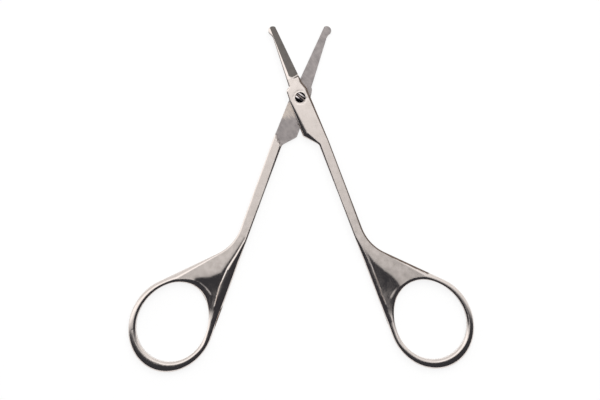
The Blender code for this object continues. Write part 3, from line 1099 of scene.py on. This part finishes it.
def realised(
    base: bpy.types.Object, tree: bpy.types.NodeTree, inputs: dict[str, float], name: str
) -> bpy.types.Object:
    """Run a Geometry Nodes tree on an object and keep its result as a plain mesh.

    Args:
        base: the object that the tree starts from; it is removed.
        tree: the tree.
        inputs: values by the name of the tree's inputs.
        name: the name of the finished piece.

    Returns:
        The finished piece, at the origin.
    """
    modifier = base.modifiers.new("made_by_rule", "NODES")
    modifier.node_group = tree
    for socket in tree.interface.items_tree:
        if socket.item_type == "SOCKET" and socket.in_out == "INPUT" and socket.name in inputs:
            modifier[socket.identifier] = inputs[socket.name]
    evaluated = base.evaluated_get(bpy.context.evaluated_depsgraph_get())
    mesh = bpy.data.meshes.new_from_object(evaluated)
    bpy.data.objects.remove(base)
    mesh.name = name
    piece = bpy.data.objects.new(name, mesh)
    bpy.context.scene.collection.objects.link(piece)
    return piece


def new_tree(name: str, sizes: dict[str, float]) -> tuple[bpy.types.NodeTree, bpy.types.Node]:
    """Start a Geometry Nodes tree with named inputs.

    Args:
        name: the tree's name.
        sizes: its number inputs, with their defaults.

    Returns:
        The tree and its input node.
    """
    tree = bpy.data.node_groups.new(name, "GeometryNodeTree")
    tree.interface.new_socket("Geometry", in_out="INPUT", socket_type="NodeSocketGeometry")
    for label, value in sizes.items():
        socket = tree.interface.new_socket(label, in_out="INPUT", socket_type="NodeSocketFloat")
        socket.default_value = value
    tree.interface.new_socket("Geometry", in_out="OUTPUT", socket_type="NodeSocketGeometry")
    return tree, add_node(tree, "NodeGroupInput")


def end_tree(tree: bpy.types.NodeTree, shape: bpy.types.Node, material: bpy.types.Material) -> None:
    """End a Geometry Nodes tree with real geometry in one material.

    Args:
        tree: the tree.
        shape: the node that gives the finished shape.
        material: the shape's material.
    """
    real = add_node(tree, "GeometryNodeRealizeInstances", {"Geometry": shape})
    dressed = add_node(tree, "GeometryNodeSetMaterial", {"Geometry": real, "Material": material})
    add_node(tree, "NodeGroupOutput", {"Geometry": dressed})


def forging_tree(material: bpy.types.Material) -> bpy.types.NodeTree:
    """Build the tree that gives a flat sheet its two worked faces, by one rule for the whole half.

    Args:
        material: the material that the whole half starts in.

    Returns:
        The tree, with the full thickness as its input.
    """
    tree, given = new_tree("forged_section", {"Thickness": SHARED.thickness})
    flat, thickness = given.outputs["Geometry"], given.outputs["Thickness"]
    carried = {}
    for name in ("rim_share", "rim_depth", "web_hollow", "blade_taper", "outer_grind", "inner_grind"):
        measure = add_node(tree, "GeometryNodeInputNamedAttribute", {"data_type": "FLOAT", "Name": name})
        carried[name] = measure.outputs["Attribute"]
    share = carried["rim_share"]
    half = add_node(tree, MATH, {"operation": "MULTIPLY", 0: thickness, 1: 0.5})
    square = add_node(tree, MATH, {"operation": "MULTIPLY", 0: share, 1: share})
    rest = add_node(tree, MATH, {"operation": "SUBTRACT", 0: 1.0, 1: square})
    bowed = add_node(tree, MATH, {"operation": "SQRT", 0: rest})
    lost = add_node(tree, MATH, {"operation": "SUBTRACT", 0: 1.0, 1: bowed})
    drop = add_node(tree, MATH, {"operation": "MULTIPLY", 0: carried["rim_depth"], 1: lost})
    sunk = add_node(tree, MATH, {"operation": "ADD", 0: drop, 1: carried["web_hollow"]})
    thinner = add_node(tree, MATH, {"operation": "ADD", 0: sunk, 1: carried["blade_taper"]})
    upper = add_node(tree, MATH, {"operation": "SUBTRACT", 0: half, 1: thinner})
    outer = add_node(tree, MATH, {"operation": "MINIMUM", 0: upper, 1: carried["outer_grind"]})
    lower = add_node(tree, MATH, {"operation": "SUBTRACT", 0: sunk, 1: half})
    inner = add_node(tree, MATH, {"operation": "MAXIMUM", 0: lower, 1: carried["inner_grind"]})
    raised = add_node(
        tree,
        "GeometryNodeExtrudeMesh",
        {"mode": "FACES", "Mesh": flat, "Individual": False, "Offset": (0, 0, 1), "Offset Scale": thickness},
    )
    joined = add_node(tree, "GeometryNodeJoinGeometry")
    for sheet in (add_node(tree, "GeometryNodeFlipFaces", {"Mesh": flat}), raised):
        tree.links.new(sheet.outputs["Mesh"], joined.inputs["Geometry"])
    merged = add_node(tree, "GeometryNodeMergeByDistance", {"Geometry": joined, "Distance": WELD})
    place = add_node(tree, "ShaderNodeSeparateXYZ", {0: add_node(tree, "GeometryNodeInputPosition")})
    is_upper = add_node(tree, MATH, {"operation": "GREATER_THAN", 0: place.outputs["Z"], 1: half})
    choice = {"input_type": "FLOAT", "Switch": is_upper, "False": inner, "True": outer}
    height = add_node(tree, "GeometryNodeSwitch", choice)
    spot = {"X": place.outputs["X"], "Y": place.outputs["Y"], "Z": height.outputs["Output"]}
    moved = {"Geometry": merged, "Position": add_node(tree, "ShaderNodeCombineXYZ", spot)}
    end_tree(tree, add_node(tree, "GeometryNodeSetPosition", moved), material)
    return tree


@dataclass
class PivotScrew:
    """The slotted, countersunk screw that the halves turn on."""

    # The turned form and the driver slot.
    shaft_radius: float = 0.85 * MM
    head_radius: float = 1.27 * MM
    head_dome: float = 0.2 * MM
    slot_width: float = 0.5 * MM
    slot_depth: float = 0.4 * MM
    slot_angle: float = math.radians(-37)
    end_chamfer: float = 0.1 * MM
    rim_round: float = 0.06 * MM
    dome_steps: int = 14
    turn_steps: int = 96
    sharp_angle: float = math.radians(28)
    # Painted light: tones by the distance in millimetres from a line beside the slot's middle, with painted
    # shade in the slot, painted highlight streaks beside it and painted shade out to the rim.
    painted_streak_shift: float = 0.14 * MM
    painted_light_tones: tuple[tuple[float, str], ...] = (
        (0.0, "#8A807B"),
        (0.1, "#8A807B"),
        (0.2, "#1E1614"),
        (0.36, "#1E1614"),
        (0.46, "#F2ECE8"),
        (0.64, "#F2ECE8"),
        (0.76, "#2A2423"),
        (1.0, "#2C2A2C"),
    )

    def profile(self) -> list[tuple[float, float]]:
        """Draw the turned profile, from the dome's top to the shaft's end.

        Returns:
            Each point's radius and height above the mid plane.
        """
        rim = SHARED.thickness / 2
        ball = (self.head_radius**2 + self.head_dome**2) / (2 * self.head_dome)
        spots = []
        for step in range(self.dome_steps + 1):
            radius = (self.head_radius - self.rim_round) * step / self.dome_steps
            spots.append((radius, rim + self.head_dome - ball + math.sqrt(ball**2 - radius**2)))
        bottom = -SHARED.thickness / 2
        spots += [
            (self.head_radius - self.rim_round * 0.3, rim - self.rim_round * 0.2),
            (self.head_radius, rim - self.rim_round),
            (self.shaft_radius, rim - self.rim_round - (self.head_radius - self.shaft_radius)),
            (self.shaft_radius, bottom + self.end_chamfer),
            (self.shaft_radius - self.end_chamfer, bottom),
            (0, bottom),
        ]
        return spots

    def painted_light_finish(self) -> bpy.types.Material:
        """Lay painted light over the screw's steel: painted shade in the slot, painted highlight streaks
        beside it, painted shade to the rim.

        Returns:
            The material, with the painted tones laid over the steel's own.
        """
        made = SCREW.material(self.slot_angle)
        tree = made.node_tree
        pivot = pivot_place()
        ruled = add_node(
            tree,
            "ShaderNodeMapping",
            {
                "vector_type": "TEXTURE",
                "Vector": add_node(tree, "ShaderNodeTexCoord").outputs["Object"],
                "Location": (pivot.x, pivot.y, 0),
                "Rotation": (0, 0, self.slot_angle),
            },
        )
        across = add_node(tree, "ShaderNodeSeparateXYZ", {0: ruled}).outputs["Y"]
        shifted = add_node(tree, MATH, {"operation": "SUBTRACT", 0: across, 1: self.painted_streak_shift})
        away = add_node(tree, MATH, {"operation": "ABSOLUTE", 0: shifted})
        ramp = add_node(
            tree,
            "ShaderNodeValToRGB",
            {"Fac": add_node(tree, MATH, {"operation": "DIVIDE", 0: away, 1: MM})},
        )
        stops = ramp.color_ramp.elements
        for stop, (at, tone) in zip(stops, (self.painted_light_tones[0], self.painted_light_tones[-1])):
            stop.position, stop.color = at, linear(tone)
        for at, tone in self.painted_light_tones[1:-1]:
            stops.new(at).color = linear(tone)
        base = tree.nodes["Principled BSDF"].inputs["Base Color"]
        plain = base.links[0].from_socket
        # Multiply the steel's colour by the painted shade and highlight streaks.
        painted_mix = add_node(
            tree, "ShaderNodeMix", {"data_type": "RGBA", "blend_type": "MULTIPLY", 0: 1.0, 6: plain, 7: ramp}
        )
        tree.links.new(painted_mix.outputs[2], base)
        return made

    def tree(self) -> bpy.types.NodeTree:
        """Build the tree that turns a profile round the axis and saws the driver slot.

        Returns:
            The tree, with the slot's sizes as inputs.
        """
        sizes = ("Slot Length", "Slot Width", "Slot Floor", "Slot Angle", "Seam")
        tree, given = new_tree("turned_and_slotted", dict.fromkeys(sizes, 0.0))
        size = given.outputs
        count = len(self.profile())
        grid = {"Size X": 1.0, "Size Y": 1.0, "Vertices X": self.turn_steps + 1, "Vertices Y": count}
        lathe = add_node(tree, "GeometryNodeMeshGrid", grid)
        index = add_node(tree, "GeometryNodeInputIndex")
        inside = add_node(tree, MATH, {"operation": "ADD", 0: index, 1: 0.5})
        columns = add_node(tree, MATH, {"operation": "DIVIDE", 0: inside, 1: count})
        column = add_node(tree, MATH, {"operation": "FLOOR", 0: columns})
        before = add_node(tree, MATH, {"operation": "MULTIPLY", 0: column, 1: count})
        row = add_node(tree, MATH, {"operation": "SUBTRACT", 0: index, 1: before})
        step = -2 * math.pi / self.turn_steps
        turn = add_node(tree, MATH, {"operation": "MULTIPLY", 0: column, 1: step})
        sample = add_node(
            tree,
            "GeometryNodeSampleIndex",
            {
                "data_type": "FLOAT_VECTOR",
                "domain": "POINT",
                "Geometry": size["Geometry"],
                "Value": add_node(tree, "GeometryNodeInputPosition"),
                "Index": row,
            },
        )
        spot = add_node(tree, "ShaderNodeSeparateXYZ", {0: sample.outputs["Value"]})
        place = {"Z": spot.outputs["Z"]}
        for axis, operation in (("X", "COSINE"), ("Y", "SINE")):
            part = add_node(tree, MATH, {"operation": operation, 0: turn})
            place[axis] = add_node(tree, MATH, {"operation": "MULTIPLY", 0: spot.outputs["X"], 1: part})
        around = {"Geometry": lathe, "Position": add_node(tree, "ShaderNodeCombineXYZ", place)}
        turned = add_node(tree, "GeometryNodeSetPosition", around)
        seamless = {"Geometry": turned, "Distance": size["Seam"]}
        closed = add_node(tree, "GeometryNodeMergeByDistance", seamless)
        sides = {"X": size["Slot Length"], "Y": size["Slot Width"], "Z": SHARED.thickness}
        saw = add_node(tree, "GeometryNodeMeshCube", {"Size": add_node(tree, "ShaderNodeCombineXYZ", sides)})
        height = add_node(tree, MATH, {"operation": "ADD", 0: size["Slot Floor"], 1: SHARED.thickness / 2})
        placed = add_node(
            tree,
            "GeometryNodeTransform",
            {
                "Geometry": saw,
                "Translation": add_node(tree, "ShaderNodeCombineXYZ", {"Z": height}),
                "Rotation": add_node(tree, "ShaderNodeCombineXYZ", {"Z": size["Slot Angle"]}),
            },
        )
        sawn = add_node(
            tree,
            "GeometryNodeMeshBoolean",
            {"operation": "DIFFERENCE", "solver": "EXACT", "Mesh 1": closed, "Mesh 2": placed},
        )
        end_tree(tree, sawn, self.painted_light_finish())
        return tree

    def build(self) -> bpy.types.Object:
        """Build the screw and put it in its place in the frame.

        Returns:
            The finished piece.
        """
        spots = self.profile()
        mesh = bpy.data.meshes.new("screw_profile")
        lines = [(at, at + 1) for at in range(len(spots) - 1)]
        mesh.from_pydata([(radius, 0, height) for radius, height in spots], lines, [])
        base = bpy.data.objects.new("screw_profile", mesh)
        bpy.context.scene.collection.objects.link(base)
        sizes = {
            "Slot Length": 3 * self.head_radius,
            "Slot Width": self.slot_width,
            "Slot Floor": SHARED.thickness / 2 + self.head_dome - self.slot_depth,
            "Slot Angle": self.slot_angle,
            "Seam": 0.5 * MICRON,
        }
        piece = realised(base, self.tree(), sizes, "pivot_screw_head_and_shaft")
        piece.data.shade_smooth()
        piece.data.set_sharp_from_angle(angle=self.sharp_angle)
        piece.data.transform(Matrix.Translation(pivot_place()))
        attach(piece, "rear")
        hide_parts("pivot_screw")
        return piece


@dataclass(frozen=True)
class Studio:
    """The floor, the light and the camera of the photograph."""

    # The photograph's frame: its pixels, how much of the part one covers, where the pivot lies in it, and
    # how far it is turned.
    pixels: tuple[int, int] = (600, 400)
    pixel: float = 0.262 * MM
    pivot_pixel: tuple[float, float] = (300.24, 97.61)
    roll: float = math.radians(0.405)
    distance: float = 500 * MM
    sensor: float = 36.0
    # The floor, and how bright its paper shows to the camera and in the steel.
    floor_half: float = 0.6
    floor_low: float = 0.02 * MM
    paper: str = "#F4F4F4"
    paper_shine: float = 0.85
    paper_mirrored: float = 0.35
    # The room: its two tones, the edge of the ceiling's bright half, which gets softer to the left, the
    # slope of the light on the right, and the stronger light from behind the tips.
    dark_wall: str = "#3C3C40"
    bright_ceiling: str = "#FFFDFB"
    ceiling_edge: float = -0.07
    ceiling_fade: float = 0.025
    ceiling_left: float = 0.9
    softer_leftwards: float = 3.0
    right_along: float = 1.8
    right_across: float = -0.15
    right_level: float = 0.1
    right_from: tuple[float, float] = (0.04, 0.14)
    back_light: float = 0.6
    back_light_from: tuple[float, float] = (0.04, 0.08)
    back_light_to: tuple[float, float] = (0.25, 0.6)
    # The lamp.
    lamp_side: float = 0.7
    lamp_power: float = 6.0
    lamp_place: tuple[float, float, float] = (0.1, 0.25, 0.8)

    def floor(self) -> None:
        """Lay the pale floor, which shows white and keeps a faint shadow."""
        half, low = self.floor_half, -self.floor_low
        mesh = bpy.data.meshes.new("studio_floor")
        corners = [(-half, -half, low), (half, -half, low), (half, half, low), (-half, half, low)]
        mesh.from_pydata(corners, [], [(0, 1, 2, 3)])
        obj = bpy.data.objects.new("studio_floor", mesh)
        bpy.context.scene.collection.objects.link(obj)
        paper = bpy.data.materials.new("white_paper")
        paper.use_nodes = True
        tree = paper.node_tree
        tree.nodes.clear()
        matt = add_node(tree, "ShaderNodeBsdfDiffuse", {"Color": linear(self.paper)})
        shining = add_node(tree, "ShaderNodeEmission", {"Color": linear("#FFFFFF"), "Strength": 1.0})
        rays = add_node(tree, "ShaderNodeLightPath").outputs
        mirrored = {"operation": "MULTIPLY", 0: rays["Is Glossy Ray"], 1: self.paper_mirrored}
        seen = {"operation": "MAXIMUM", 0: rays["Is Camera Ray"], 1: add_node(tree, MATH, mirrored)}
        share = {"operation": "MULTIPLY", 0: add_node(tree, MATH, seen), 1: self.paper_shine}
        mixed = {"Fac": add_node(tree, MATH, share), 1: matt, 2: shining}
        surface = add_node(tree, "ShaderNodeMixShader", mixed)
        add_node(tree, "ShaderNodeOutputMaterial", {"Surface": surface})
        mesh.materials.append(paper)

    def sky(self) -> None:
        """Light the scissors with a bright half of the ceiling, and let the rest of the room be dark.

        The light depends on its direction alone: across is how far that leans to the right, along how far it
        leans towards the tips. The bright half starts just on the handles' side of straight up, with a firm
        edge on the left and a slow rise on the right, and is strongest just on the tips' side of it.
        """
        world = bpy.data.worlds.new("studio")
        bpy.context.scene.world = world
        world.use_nodes = True
        tree = world.node_tree
        tree.nodes.clear()
        way = add_node(tree, "ShaderNodeTexCoord").outputs["Generated"]
        part = add_node(tree, "ShaderNodeSeparateXYZ", {0: way})
        across, along = part.outputs["X"], part.outputs["Y"]
        back = add_node(tree, MATH, {"operation": "MULTIPLY", 0: across, 1: -1.0})
        leftwards = add_node(tree, MATH, {"operation": "MAXIMUM", 0: back, 1: 0.0})
        softer = {"operation": "MULTIPLY_ADD", 0: leftwards, 1: self.softer_leftwards, 2: 1.0}
        past_edge = add_node(tree, MATH, {"operation": "SUBTRACT", 0: along, 1: self.ceiling_edge})
        edge = {"operation": "DIVIDE", 0: past_edge, 1: add_node(tree, MATH, softer)}
        fade = (-self.ceiling_fade, self.ceiling_fade)
        rises = {}
        for name, value, (low, high), (start, end) in (
            ("left", add_node(tree, MATH, edge), fade, (0.0, self.ceiling_left)),
            ("rightwards", across, self.right_from, (0.0, 1.0)),
            ("behind", along, self.back_light_from, (0.0, self.back_light)),
            ("near", along, self.back_light_to, (1.0, 0.0)),
        ):
            rise = {"From Min": low, "From Max": high, "To Min": start, "To Max": end}
            soft = {"interpolation_type": "SMOOTHSTEP", "Value": value}
            rises[name] = add_node(tree, "ShaderNodeMapRange", soft | rise)
        level = {"operation": "MULTIPLY_ADD", 0: along, 1: self.right_along, 2: self.right_level}
        upward = add_node(tree, MATH, level)
        sloped = {"operation": "MULTIPLY_ADD", 0: across, 1: self.right_across, 2: upward}
        right = add_node(tree, MATH, {"use_clamp": True} | sloped)
        sides = {"data_type": "FLOAT", 0: rises["rightwards"], 2: rises["left"], 3: right}
        lit = add_node(tree, "ShaderNodeMix", sides)
        shades = {"data_type": "RGBA", 0: lit, 6: linear(self.dark_wall), 7: linear(self.bright_ceiling)}
        colour = add_node(tree, "ShaderNodeMix", shades)
        stronger = {"operation": "MULTIPLY_ADD", 0: rises["behind"], 1: rises["near"], 2: 1.0}
        strength = add_node(tree, MATH, stronger)
        room = add_node(tree, "ShaderNodeBackground", {"Color": colour.outputs[2], "Strength": strength})
        white = add_node(tree, "ShaderNodeBackground", {"Color": linear("#FFFFFF"), "Strength": 1.0})
        rays = add_node(tree, "ShaderNodeLightPath").outputs
        mixed = add_node(tree, "ShaderNodeMixShader", {"Fac": rays["Is Camera Ray"], 1: room, 2: white})
        add_node(tree, "ShaderNodeOutputWorld", {"Surface": mixed})

    def lamp(self) -> None:
        """Hang a broad soft lamp overhead, which lights the floor and isn't mirrored in the steel."""
        light = bpy.data.lights.new("soft_box", "AREA")
        light.shape = "SQUARE"
        light.size = self.lamp_side
        light.energy = self.lamp_power
        obj = bpy.data.objects.new("soft_box", light)
        obj.location = self.lamp_place
        obj.rotation_euler = (-obj.location).to_track_quat("-Z", "Y").to_euler()
        obj.visible_glossy = False
        bpy.context.scene.collection.objects.link(obj)

    def camera(self) -> None:
        """Look straight down, with the pivot where the photograph has it."""
        pivot = pivot_place()
        right = (self.pixels[0] / 2 - self.pivot_pixel[0]) * self.pixel
        up = (self.pivot_pixel[1] - self.pixels[1] / 2) * self.pixel
        cos, sin = math.cos(self.roll), math.sin(self.roll)
        lens = bpy.data.cameras.new("camera")
        lens.sensor_width = self.sensor
        frame_width = self.pixels[0] * self.pixel
        lens.lens = self.sensor * (self.distance - SHARED.thickness / 2) / frame_width
        lens.clip_start = 0.01
        obj = bpy.data.objects.new("camera", lens)
        obj.location = (pivot.x + right * cos + up * sin, pivot.y - right * sin + up * cos, self.distance)
        obj.rotation_euler = (0, 0, -self.roll)
        bpy.context.scene.collection.objects.link(obj)
        bpy.context.scene.camera = obj

    def build(self) -> None:
        """Set up the whole studio."""
        self.floor()
        self.sky()
        self.lamp()
        self.camera()
        bpy.context.scene.view_settings.view_transform = "Standard"


def in_mm(*rows: tuple[float, float], first: float = MM) -> Profile:
    """Turn rows written in millimetres into metres; the first column may have another unit."""
    return tuple((one * first, two * MM) for one, two in rows)


def halves() -> list[ForgedHalf]:
    """Give the two halves the sizes in which the forgings differ.

    Returns:
        The front half and the rear half.
    """
    front = ForgedHalf(
        name="front_half_forging",
        node="front_half",
        body="front",
        turned_over=False,
        countersunk=True,
        back_top_x=-2.8 * MM,
        back_x=-2.95 * MM,
        corner_y=-9.88 * MM,
        ring_y=-67.2 * MM,
        ring_half_width=10.79 * MM,
        ring_half_length=12.48 * MM,
        other_back_x=-2.7 * MM,
        other_corner_y=-10.08 * MM,
        hole_valley=0.8 * MM,
        hole_ridge=0.2,
        edge_shade_to_y=-55 * MM,
        inner_bevel=in_mm(
            (-61.6, 1.3),
            (-56.3, 1.15),
            (-52.4, 1.3),
            (-46.0, 1.35),
            (-43.2, 1.0),
            (-39.0, 0.35),
            (-27.0, 0.25),
        ),
        hole_bevel=in_mm(
            (0, 0.9), (70, 0.75), (95, 0.8), (125, 1.1), (150, 0.9), (175, 0.75), (200, 0.8), first=1
        ),
        web_fall=in_mm(
            (-2.5, -34), (1.0, -42), (2.6, -47.2), (4.2, -50.2), (5.6, -52.3), (6.4, -54.2), (7.4, -58)
        ),
    )
    rear = ForgedHalf(
        name="rear_half_forging",
        node="rear_half",
        body="rear",
        turned_over=True,
        countersunk=False,
        back_top_x=-2.2 * MM,
        back_x=-2.7 * MM,
        corner_y=-10.08 * MM,
        ring_y=-67.46 * MM,
        ring_half_width=10.93 * MM,
        ring_half_length=12.73 * MM,
        other_back_x=-2.95 * MM,
        other_corner_y=-9.88 * MM,
        inner_bevel=in_mm(
            (-62.4, 1.6),
            (-56.3, 2.2),
            (-53.7, 2.45),
            (-48.5, 2.1),
            (-44.5, 1.2),
            (-40.0, 0.4),
            (-27.0, 0.25),
        ),
        hole_bevel=in_mm(
            (0, 0.9), (70, 0.8), (95, 1.5), (118, 1.7), (135, 1.2), (155, 0.8), (200, 0.7), first=1
        ),
        web_fall=in_mm(
            (-2.5, -34), (1.0, -39.8), (2.4, -45.9), (3.6, -50.4), (6.0, -52.5), (9.2, -53.9), (10.5, -56)
        ),
    )
    return [front, rear]


def main() -> None:
    """Build the scissors and the studio in order."""
    logging.basicConfig(level=logging.INFO, format="%(message)s")
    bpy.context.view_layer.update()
    for maker in (*halves(), PivotScrew()):
        piece = maker.build()
        LOG.info("%s: %d faces", piece.name, len(piece.data.polygons))
    Studio().build()
    LOG.info("studio: floor, sky, lamp and camera")


if __name__ == "__main__":
    main()
